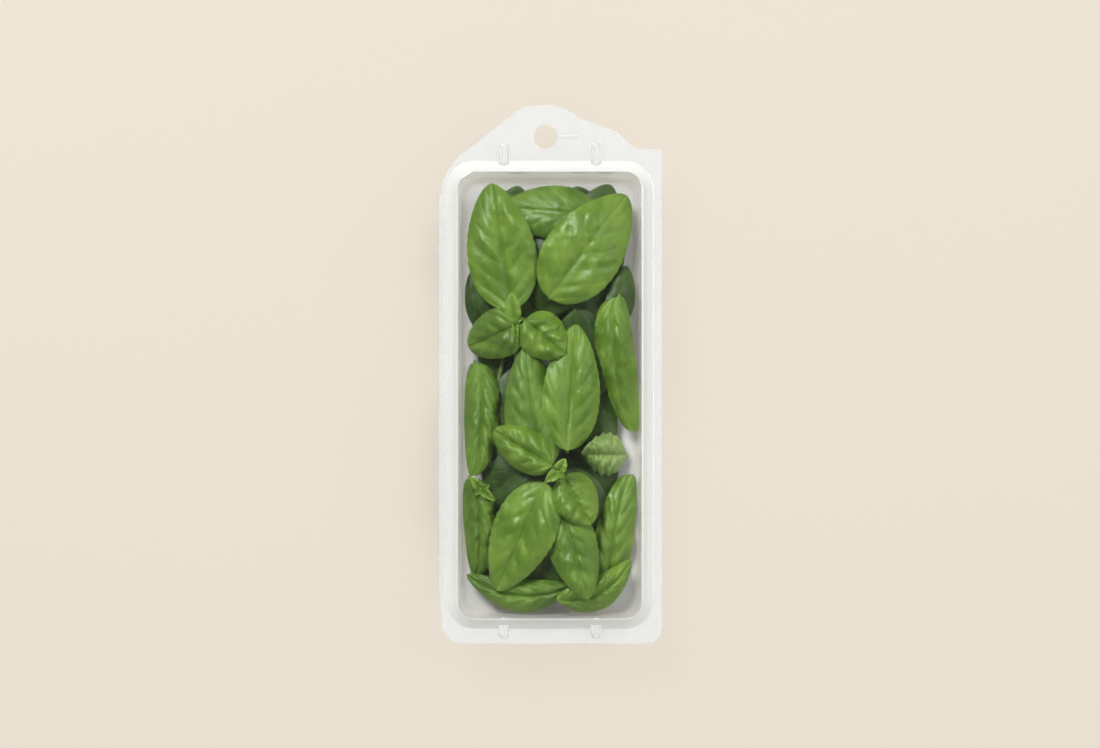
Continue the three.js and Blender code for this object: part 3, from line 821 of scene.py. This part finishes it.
@dataclass
class Pack:
    """The clear pack: tray, lid and the fold between them."""

    sizes: PackSizes = field(default_factory=PackSizes)

    FILM = 0.2
    FOLD_INSET = 0.12
    FOLD_STEPS, FOLD_ROWS = 11, 60

    def tray(self, finishes: Finishes) -> None:
        """Builds the deep tray."""
        s = self.sizes
        flange, half = s.flanges[0], s.sheet / 2
        profile = [
            (-half - 2.5, flange, 0.0),
            (-half, flange, 0.9),
            (3.3 - half, half, 3.2),
            (8.6, half, 0.0),
        ]
        inner = (-1.0, flange - 1.2)
        shell = Shell(s, "tray", s.mouth, flange, profile, BASE, inner, clear_inset=-2.0)
        smaller = 0.9
        spans = ((79.1, 88.0 - smaller), (-100.3 + smaller, -95.8))
        top = s.depth + s.boss_height - smaller
        shell.build(finishes, Bosses(s, flange, top, s.boss_radius - smaller, spans))

    def lid(self, finishes: Finishes) -> None:
        """Builds the lid with its raised panel."""
        s = self.sizes
        flange, half = s.flanges[1], s.sheet / 2
        top = s.depth + s.rise - half
        profile = [
            (half - 1.2, flange, 0.0),
            (half + 0.1, flange, 0.7),
            (3.9 + half, top - 0.35, 0.4),
            (4.6 + half, top - 0.12, 0.25),
            (7.4, top - 0.12, 0.0),
        ]
        panel = (top - 0.5, top + 1.0)
        shell = Shell(
            s, "lid", s.ring_foot, flange, profile, PANEL, panel, 4.7, lip=0.3, steep_finish=SLOPE
        )
        spans = ((78.5, 88.0), (-100.3, -92.3))
        top = s.depth + s.boss_height
        shell.build(finishes, Bosses(s, flange, top, s.boss_radius, spans, rib=True))

    def fold(self, finishes: Finishes) -> None:
        """Builds the thin film that joins the two flanges, curved round the hinge line."""
        s = self.sizes
        low, high = s.flanges
        turns = np.linspace(-math.pi / 2, math.pi / 2, self.FOLD_STEPS)
        reach = s.hinge_radius - self.FOLD_INSET
        x = np.concatenate([[s.flange_left], s.hinge_x - reach * np.cos(turns), [s.flange_left]])
        z = np.concatenate([[low], s.depth + (high - low) / 2 * np.sin(turns), [high]])
        y = np.linspace(s.hinge_low, s.hinge_high, self.FOLD_ROWS)
        points = np.array([np.column_stack([x, np.full(len(x), at), z]) for at in y])
        obj = Shaper.grid("hinge_fold", points)
        Shaper.close(obj)
        Shaper.apply(obj, "SOLIDIFY", thickness=self.FILM * MM, offset=0)
        Shaper.smooth(obj, 40)
        install(obj, [finishes.of(WALL)], None, "hinge_film")
        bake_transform(obj)

    def build(self, finishes: Finishes) -> None:
        """Builds the three pieces."""
        self.tray(finishes)
        self.lid(finishes)
        self.fold(finishes)


# ---- Leaves --------------------------------------------------------------------------------


def smooth_between(values: Points, at: Points) -> Points:
    """Interpolates smoothly down the first axis.

    Args:
        values: known values, by row.
        at: fractional rows.

    Returns:
        The values at those rows.
    """
    last = len(values) - 1
    ends = 2 * values[:1] - values[1:2], 2 * values[-1:] - values[-2:-1]
    padded = np.concatenate([ends[0], values, ends[1]])
    low = np.clip(np.floor(at).astype(int), 0, last - 1)
    f = (at - low)[:, None]
    a, b, c, d = (padded[low + k] for k in range(4))
    return b + 0.5 * f * (c - a + f * (2 * a - 5 * b + 4 * c - d + f * (3 * (b - c) + d - a)))


def turned(x: Points, y: Points, degrees: float) -> tuple[Points, Points]:
    """Returns x and y turned anticlockwise about the origin."""
    turn = math.radians(degrees)
    return x * math.cos(turn) - y * math.sin(turn), x * math.sin(turn) + y * math.cos(turn)


def capped(points: Points) -> Points:
    """Adds a row at each end of a band that draws it together at its centre."""
    ends = [np.broadcast_to(points[k].mean(axis=0), points[k].shape)[None] for k in (0, -1)]
    return np.concatenate([ends[0], points, ends[1]])


class Blade:
    """Shape of a basil blade: outline, section and the relief of its veins."""

    SWEEP = 0.22
    CURL = 0.08
    STAGGER = 0.45
    PETIOLE_RADIUS = 0.7
    SKIN = 0.14

    @staticmethod
    def share(along: Points, point: float = 0.68) -> Points:
        """Returns the half width as a share of the greatest; a low point makes blunter ends."""
        inside = np.clip(along, 0, 1)
        oval = np.clip(np.sin(np.pi * inside**0.84), 0, 1) ** point
        return oval * (1 - 0.14 * inside) / 0.94

    @staticmethod
    def relief(
        along: Points,
        side: Points,
        half: Points,
        pairs: float,
        depth: float,
        ruffle: float,
        seed: int,
    ) -> Points:
        """Returns the rise of the veined surface over the plain blade.

        Args:
            along: place from base to tip.
            side: place from the left edge (-1) to the right (1).
            half: half width there, millimetres.
            pairs: number of side vein pairs.
            depth: height of the puckers between veins, millimetres.
            ruffle: height of the waves along the margin, millimetres.
            seed: chooses the leaf's own unevenness.

        Returns:
            The rise at each point, millimetres.
        """
        chance = np.random.default_rng(seed)
        out = np.abs(side)
        body = np.sqrt(np.clip(np.sin(np.pi * np.clip(along, 0, 1)), 0, 1))
        groove = -(0.3 + 0.5 * depth) * np.exp(-((side * half / 0.7) ** 2)) * (1 - 0.5 * along)
        outer = np.clip(out - 0.55, 0, 1) ** 1.5
        halves = 1.1 * depth * np.sin(np.pi * out**0.85) - 1.2 * depth * outer
        phase = pairs * (along - Blade.SWEEP * out - Blade.CURL * out**2)
        phase += Blade.STAGGER * (side < 0)
        crest = np.abs(np.sin(np.pi * phase)) ** 0.6
        reach = np.clip(out * 3.2, 0, 1) * (1 - out**3)
        pucker = depth * (crest - 0.62) * reach
        x, y = along * 45, side * half
        bumps = np.zeros_like(along)
        for wave in (0.55, 0.95, 1.5):
            turn, shift = chance.uniform(0, 2 * np.pi, 2)
            bumps += np.sin(wave * (x * np.cos(turn) + y * np.sin(turn)) + shift) / wave
        waves = chance.uniform(2.4, 3.6)
        edge = out**4 * np.sin(2 * np.pi * waves * along + chance.uniform(0, 6) + 1.7 * (side < 0))
        drop = 3.5 * np.clip(-along * 45 / 2, 0, 1) ** 1.5
        return body * (groove + halves + pucker + 0.16 * depth * bumps + ruffle * edge) - drop

    @staticmethod
    def thickness(along: Points, side: Points, half: Points, lower: bool) -> Points:
        """Returns how far the skin is from the blade's middle: thin, with a rib and a stalk."""
        round_part = np.where(along < 0, 1.0, np.exp(-np.clip(along, 0, 1) / 0.045))
        stalk = Blade.PETIOLE_RADIUS * np.sqrt(np.clip(1 - side**2, 0, 1))
        skin = Blade.SKIN * np.sqrt(np.clip(1 - side**6, 0, 1))
        rib = 0.5 * (1 - along) * np.exp(-((side * half / 0.6) ** 2)) if lower else 0.0
        return (1 - round_part) * (skin + rib) + round_part * stalk

    @staticmethod
    def wrap(top: Points, bottom: Points) -> Points:
        """Joins an upper and a lower grid, row by row, into a band that ends where it starts."""
        return np.concatenate([top, bottom[:, ::-1], top[:, :1]], axis=1)

    @staticmethod
    def solid(
        name: str, along: Points, side: Points, half: Points, middle: Points
    ) -> bpy.types.Object:
        """Makes a closed blade from grids by row and column.

        Args:
            name: the piece's name.
            along: place from base to tip.
            side: place from the left edge to the right.
            half: half width, millimetres.
            middle: x, y and z of the blade's middle, millimetres.

        Returns:
            The closed mesh.
        """
        skins = []
        for lower in (False, True):
            skin = middle.copy()
            skin[..., 2] += Blade.thickness(along, side, half, lower) * (-1 if lower else 1)
            skins.append(skin)
        points = Blade.wrap(*skins)
        mark = np.stack([along, side, half], axis=-1)
        blade = Blade.wrap(mark, mark)
        zero, one = np.zeros(along.shape), np.ones(along.shape)
        under = Blade.wrap(zero, one)
        blade = np.concatenate([blade[:1], blade, blade[-1:]])
        under = np.concatenate([under[:1], under, under[-1:]])
        obj = Shaper.grid(name, capped(points), {"blade": blade, "under": under})
        Shaper.close(obj)
        Shaper.smooth(obj, 70)
        return obj


@dataclass
class Leaf:
    """One leaf of the pile, draped as its CAD node is."""

    node: str
    heading: float
    length: float
    width: float
    # Unless given, a leaf takes the deep tone, which is darkened as painted shade.
    tone: Tone = Tone.DEEP_PAINTED_SHADE
    depth: float = 0.3
    bend: float = 0.0
    petiole: float = 4.0
    rows: int = 8
    fine: tuple[int, int] = (64, 22)
    teeth: float = 0.012
    pairs: float = 6.0
    ruffle: float = 0.25
    lean: float = 0.0
    point: float = 0.56
    teeth_count: int = 13
    tuck: float = 0.0
    trim: float = 1.0

    STUB = 0.3
    LOWEST = 1.2

    def plan(
        self, along: Points, side: Points, half: Points, lean: float = 0.0, trim: float = 1.0
    ) -> Points:
        """Returns the plan places of points of the blade, before the leaf is placed."""
        bow = 4 * along * (1 - along)
        x = (along - 0.5) * self.length * trim
        y = side * half * trim + self.bend * (bow - 0.5) + lean * (self.width / 2 - half)
        return np.stack(turned(x, y, self.heading), axis=-1)

    def stations(self, at: Points) -> Points:
        """Returns the place along the blade of each fractional row of the CAD grid."""
        row = at - 1
        inside = (1 - np.cos(np.pi * np.clip(row, 0, self.rows) / self.rows)) / 2
        return np.where(row < 0, row * self.petiole / self.length, inside)

    def draped(self) -> tuple[Points, Points]:
        """Reads how the CAD node lies.

        Returns:
            The place of the leaf's middle in plan, and the blade's heights by row and column.
        """
        along = np.repeat(self.stations(np.arange(self.rows + 2.0))[:, None], 5, axis=1)
        side = np.tile(np.linspace(-1, 1, 5), (self.rows + 2, 1))
        least = np.where(along < 0.5, 0.75, 0.4)
        half = np.maximum(self.width / 2 * Blade.share(along), least)
        plan = self.plan(along, side, half)
        vertices = np.array([v.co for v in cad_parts[self.node].data.vertices]) / MM
        low, high = vertices.min(axis=0), vertices.max(axis=0)
        flat = plan.reshape(-1, 2)
        shift = (low + high)[:2] / 2 - (flat.min(axis=0) + flat.max(axis=0)) / 2
        heights = []
        for point in flat + shift:
            apart = np.linalg.norm(vertices[:, :2] - point, axis=1)
            here = vertices[apart < apart.min() + 0.02, 2]
            heights.append((here.min() + here.max()) / 2)
        return shift, np.array(heights).reshape(along.shape)

    def build(self, finishes: Finishes) -> None:
        """Builds the leaf and lays it in the tray."""
        shift, heights = self.draped()
        rows, columns = self.fine
        at = np.linspace(0, self.rows + 1, rows + 1)
        across = np.sin(np.linspace(-math.pi / 2, math.pi / 2, columns + 1))
        z = smooth_between(heights, at)
        z = smooth_between(z.T, (across + 1) * 2).T
        along = np.repeat(self.stations(at)[:, None], columns + 1, axis=1)
        along = np.where(along < 0, along * self.STUB, along)
        side = np.tile(across, (rows + 1, 1))
        saw = np.abs(((along * self.teeth_count) % 1) - 0.75) * self.teeth * 4 - self.teeth
        toothed = 1 + saw * np.clip(np.sin(np.pi * along), 0, 1)
        half = self.width / 2 * Blade.share(along, self.point) * toothed
        half = np.maximum(half, np.where(along < 0.5, Blade.PETIOLE_RADIUS, 0.1))
        seed = sum(map(ord, self.node))
        rise = Blade.relief(along, side, half, self.pairs, self.depth, self.ruffle, seed)
        fold = np.clip((along - 0.3) / 0.2, 0, 1)
        tucked = np.where(side * self.tuck < 0, abs(self.tuck) * fold * fold * (3 - 2 * fold), 0.0)
        plan = self.plan(along, side * (1 - tucked), half, self.lean, self.trim) + shift
        middle = np.concatenate([plan, np.maximum(z + rise, self.LOWEST)[..., None]], axis=-1)
        obj = Blade.solid(f"blade_{self.node}", along, side, half, middle)
        install(obj, [finishes.of(self.tone.value)], "tray", self.node)


@dataclass
class Stalk:
    """A loose or sprig stem, with swollen leaf joints."""

    node: str
    heading: float
    length: float
    radius: float
    bow: float
    rings: int = 40
    sides: int = 12

    JOINTS = ((0.3, 0.16), (0.74, 0.18))

    def build(self, finishes: Finishes) -> None:
        """Builds the stem where its CAD node lies."""
        low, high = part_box(self.node)
        centre = (np.array(low) + np.array(high)) / 2 / MM
        t = np.linspace(0, 1, self.rings)
        x = (t - 0.5) * self.length
        y = 4 * self.bow * t * (1 - t)
        angles = np.linspace(0, 2 * np.pi, self.sides + 1)
        joints = sum(swell * np.exp(-(((t - at) * 22) ** 2)) for at, swell in self.JOINTS)
        size = self.radius * (1 + joints) * 0.96
        ring_y = y[:, None] + size[:, None] * np.cos(angles)
        ring_z = size[:, None] * np.sin(angles)
        ring_x = np.repeat(x[:, None], len(angles), axis=1)
        points = np.stack([*turned(ring_x, ring_y, self.heading), ring_z], axis=-1)
        middle = (points.reshape(-1, 3).min(axis=0) + points.reshape(-1, 3).max(axis=0)) / 2
        points += centre - middle
        obj = Shaper.grid(f"stalk_{self.node}", capped(points))
        Shaper.close(obj)
        Shaper.smooth(obj, 50)
        install(obj, [finishes.of(STALK)], "tray", self.node)


@dataclass(frozen=True)
class Leaflet:
    """One young leaflet: heading in degrees, size in millimetres, tilt and fold in radians."""

    heading: float
    length: float
    width: float
    tilt: float = 0.35
    fold: float = 0.45

    def build(self, seed: int) -> bpy.types.Object:
        """Builds the leaflet, which points up and out from the bud; seed sets its unevenness."""
        rows, columns = 30, 14
        t = np.linspace(0, 1, rows + 1)
        along = np.repeat(((1 - np.cos(np.pi * t)) / 2)[:, None], columns + 1, axis=1)
        side = np.tile(np.sin(np.linspace(-math.pi / 2, math.pi / 2, columns + 1)), (rows + 1, 1))
        half = np.maximum(self.width / 2 * Blade.share(along, 0.56), 0.14)
        spread = side * half
        rise = 0.12 * self.length * 4 * along * (1 - along) + np.abs(spread) * math.sin(self.fold)
        rise += Blade.relief(along, side, half, 4, 0.3, 0.25, seed)
        x, y = along * self.length, spread * math.cos(self.fold)
        z = x * math.sin(self.tilt) + rise
        x = x * math.cos(self.tilt) - rise * math.sin(self.tilt)
        middle = np.stack([*turned(x, y, self.heading), z], axis=-1)
        return Blade.solid("leaflet", along, side, half, middle)


@dataclass(frozen=True)
class GrowingTip:
    """The young leaflets round the bud of a sprig."""

    node: str
    leaflets: tuple[Leaflet, ...]
    bud: float = 1.0

    def build(self, finishes: Finishes) -> None:
        """Builds the leaflets and the bud as one piece where the CAD node lies."""
        parts = [leaflet.build(order + 3) for order, leaflet in enumerate(self.leaflets)]
        Shaper.clear_selection()
        bpy.ops.mesh.primitive_uv_sphere_add(segments=20, ring_count=12, radius=self.bud * MM)
        bud = bpy.context.object
        bud.scale.z = 1.35
        bpy.ops.object.transform_apply(location=False, rotation=False, scale=True)
        Shaper.only(parts[0])
        for part in (*parts, bud):
            part.select_set(True)
        bpy.ops.object.join()
        obj = bpy.context.object
        obj.name = obj.data.name = f"tip_{self.node}"
        places = np.array([v.co for v in obj.data.vertices])
        low, high = (np.array(corner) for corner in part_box(self.node))
        shift = (low + high) / 2 - (places.min(axis=0) + places.max(axis=0)) / 2
        shift[2] = high[2] - places[:, 2].max()
        obj.data.vertices.foreach_set("co", (places + shift).astype(np.float32).ravel())
        Shaper.smooth(obj, 70)
        install(obj, [finishes.of(LEAFLET)], "tray", self.node)


class Pile:
    """Everything that lies in the tray, from the floor up."""

    @staticmethod
    def leaves() -> list[Leaf]:
        """Returns the leaves in the order they lie."""
        low = {"rows": 7, "petiole": 3.0, "fine": (40, 14), "trim": 0.93}
        floor = [(80, 46, 26), (106, 43, 26), (-82, 50, 26), (98, 44, 26), (-94, 48, 26)]
        floor += [(76, 42, 25), (-98, 33, 24), (78, 32, 24), (92, 40, 27)]
        middle = [(-70, 45, 25), (84, 47, 25), (100, 44, 24), (72, 43, 24), (-76, 44, 24)]
        middle += [(-102, 42, 24), (118, 40, 24), (66, 40, 24), (-96, 42, 23), (84, 44, 26)]
        flat = [
            *((f"floor_leaf_{k}", *row) for k, row in enumerate(floor, 1)),
            *((f"middle_leaf_{k}", *row) for k, row in enumerate(middle, 1)),
            ("under_leaf_top", 82, 44, 24),
            ("under_leaf_right", -72, 36, 22),
            ("under_leaf_left", -140, 34, 22),
            ("edge_leaf_right", 80, 26, 12),
            ("edge_leaf_left", 102, 26, 12),
        ]
        big = {"fine": (96, 34), "depth": 1.1, "ruffle": 0.6}
        edge = big | {"ruffle": 1.8, "teeth": 0.015, "point": 0.36}
        small = big | {"petiole": 2.0, "fine": (64, 32), "depth": 1.6, "pairs": 4.4, "point": 0.46}
        jagged = small | {"point": 0.7, "teeth": 0.06, "teeth_count": 6, "trim": 1.15}
        return [
            *(Leaf(*row, **low) for row in flat),
            Leaf("side_leaf_right_upper", -83, 52, 15, Tone.FRESH, lean=0.6, tuck=0.2, **edge),
            Leaf("side_leaf_left_upper", -91, 43, 13.5, Tone.MID, lean=-0.5, **edge),
            Leaf("side_leaf_right_lower", 82, 45, 15, Tone.FRESH, lean=-0.5, **edge),
            Leaf("side_leaf_left_lower", -87, 38, 12.5, Tone.MID, lean=-0.5, **edge),
            Leaf("bottom_edge_leaf", 173, 39, 13, Tone.MID, bend=5, **big),
            Leaf("bottom_corner_leaf", 28, 32, 13, Tone.FRESH, bend=-5, **big),
            Leaf("top_leaf_middle", 175, 37, 21, Tone.MID, **(big | {"depth": 0.6})),
            Leaf("top_leaf_left", 99, 49, 26.5, Tone.FRESH, **big),
            Leaf("top_leaf_right", 53, 52, 31, Tone.FRESH, trim=0.95, **big),
            Leaf("lower_leaf_middle", -74, 37, 19, Tone.MID, **big),
            Leaf("lower_leaf_left", -114, 45, 24, Tone.FRESH, **big),
            Leaf("centre_leaf_left", 96, 48, 22, Tone.MID, **big),
            Leaf("centre_leaf_right", 86, 48, 22, Tone.FRESH, **big),
            Leaf("small_leaf_right", 178, 15, 14, Tone.PALE, **jagged),
            Leaf("sprig_a_leaf_left", -156, 22, 19, Tone.MID, **small),
            Leaf("sprig_a_leaf_right", -41, 20, 18, Tone.FRESH, **small),
            Leaf("sprig_b_leaf_left", 149, 26, 16, Tone.FRESH, **small),
            Leaf("sprig_b_leaf_right", -61, 21, 17, Tone.FRESH, **small),
        ]

    @staticmethod
    def build(finishes: Finishes) -> None:
        """Builds the leaves, stems and tips."""
        for leaf in Pile.leaves():
            leaf.build(finishes)
        stalks = [
            Stalk("stem_1", 96, 72, 1.3, 3),
            Stalk("stem_2", -82, 60, 1.25, -3),
            Stalk("stem_3", 85, 48, 1.0, 2),
            Stalk("sprig_a_stem", 100, 44, 1.3, 2),
            Stalk("sprig_b_stem", 94, 44, 1.3, -2),
        ]
        for stalk in stalks:
            stalk.build(finishes)
        long_pair = (Leaflet(96, 11.5, 6.4), Leaflet(-84, 8.5, 4.2, 0.25, 0.9))
        short_pair = (Leaflet(62, 6.4, 5.4), Leaflet(216, 6.2, 5.0))
        little_pair = (Leaflet(140, 3.2, 2.6), Leaflet(-42, 3.4, 2.6))
        curled = (Leaflet(128, 6.0, 4.2), Leaflet(-38, 7.5, 4.8, 0.3, 0.8))
        for tip in (
            GrowingTip("sprig_a_tip", (*long_pair, Leaflet(168, 4.4, 3.2), Leaflet(18, 4.0, 2.8))),
            GrowingTip("sprig_b_tip", (*short_pair, *little_pair)),
            GrowingTip("left_tip", (*curled, Leaflet(22, 4.0, 3.0), Leaflet(-130, 3.4, 2.6))),
        ):
            tip.build(finishes)


# ---- Studio --------------------------------------------------------------------------------


@dataclass
class Softbox:
    """A square area light that faces the pack."""

    name: str
    place: Place
    size: float
    watts: float
    colour: Colour = (1.0, 1.0, 1.0)

    def build(self) -> None:
        """Adds the light."""
        data = bpy.data.lights.new(self.name, "AREA")
        data.shape = "SQUARE"
        data.size = self.size
        data.energy = self.watts
        data.color = self.colour
        lamp = bpy.data.objects.new(self.name, data)
        lamp.location = self.place
        lamp.rotation_euler = (-Vector(self.place)).to_track_quat("-Z", "Y").to_euler()
        bpy.context.scene.collection.objects.link(lamp)


@dataclass
class Studio:
    """Cream floor, soft lights and the camera."""

    floor_colour: Colour = (0.815, 0.745, 0.645)
    floor_size: float = 8.0
    tent_sides: Colour = (0.93, 0.9, 0.86)
    tent_top: Colour = (0.07, 0.07, 0.07)
    tent_strength: float = 0.38
    camera_height: float = 1.5
    view_width: float = 0.418
    boxes: tuple[Softbox, ...] = (
        Softbox("key_light", (-1.1, 1.8, 2.6), 1.0, 80),
        Softbox("fill_light", (2.2, 0.6, 2.1), 1.6, 31),
        Softbox("low_light", (0.3, -2.2, 1.6), 1.6, 11),
    )

    def floor(self) -> None:
        """Adds the surface that the pack lies on."""
        Shaper.clear_selection()
        bpy.ops.mesh.primitive_plane_add(size=self.floor_size)
        floor = bpy.context.object
        floor.name = "floor"
        material, graph, shader = Finishes.start("floor_cream")
        place = graph.add("ShaderNodeTexCoord").outputs["Object"]
        r, g, b = self.floor_colour
        cloud = graph.ramp(graph.noise(place, 1.2, 2.0), 0.3, 0.7)
        shade = graph.blend(cloud, (r * 0.99, g * 0.99, b * 0.985), (r, g, b))
        graph.feed(shader.inputs["Base Color"], shade)
        shader.inputs["Roughness"].default_value = 0.8
        shader.inputs["Specular IOR Level"].default_value = 0.1
        floor.data.materials.append(material)

    def surroundings(self) -> None:
        """Lights the pack from a tent that is bright round the sides and dim overhead."""
        world = bpy.data.worlds.new("tent")
        bpy.context.scene.world = world
        world.use_nodes = True
        graph = Graph(world.node_tree)
        lamp = world.node_tree.nodes["Background"]
        parts = graph.add("ShaderNodeSeparateXYZ")
        graph.feed(parts.inputs[0], graph.add("ShaderNodeTexCoord").outputs["Generated"])
        dim = graph.ramp(parts.outputs["Z"], 0.55, 0.95)
        graph.feed(lamp.inputs["Color"], graph.blend(dim, self.tent_sides, self.tent_top))
        lamp.inputs["Strength"].default_value = self.tent_strength

    def camera(self) -> None:
        """Adds the camera, straight above the pack, with the tab at the top of the picture."""
        data = bpy.data.cameras.new("camera")
        data.sensor_width = 36
        data.lens = data.sensor_width * self.camera_height / self.view_width
        data.clip_start, data.clip_end = 0.01, 30
        camera = bpy.data.objects.new("camera", data)
        camera.location = (0, 0, self.camera_height + 0.02)
        bpy.context.scene.collection.objects.link(camera)
        bpy.context.scene.camera = camera

    def build(self) -> None:
        """Sets the whole studio up."""
        self.floor()
        self.surroundings()
        for box in self.boxes:
            box.build()
        self.camera()
        bpy.context.scene.view_settings.view_transform = "Standard"


def main() -> None:
    """Builds the pack, its contents and the studio."""
    logging.basicConfig(level=logging.INFO, format="%(name)s %(message)s")
    finishes = Finishes()
    Pack().build(finishes)
    Pile.build(finishes)
    Studio().build()


if __name__ == "__main__":
    main()
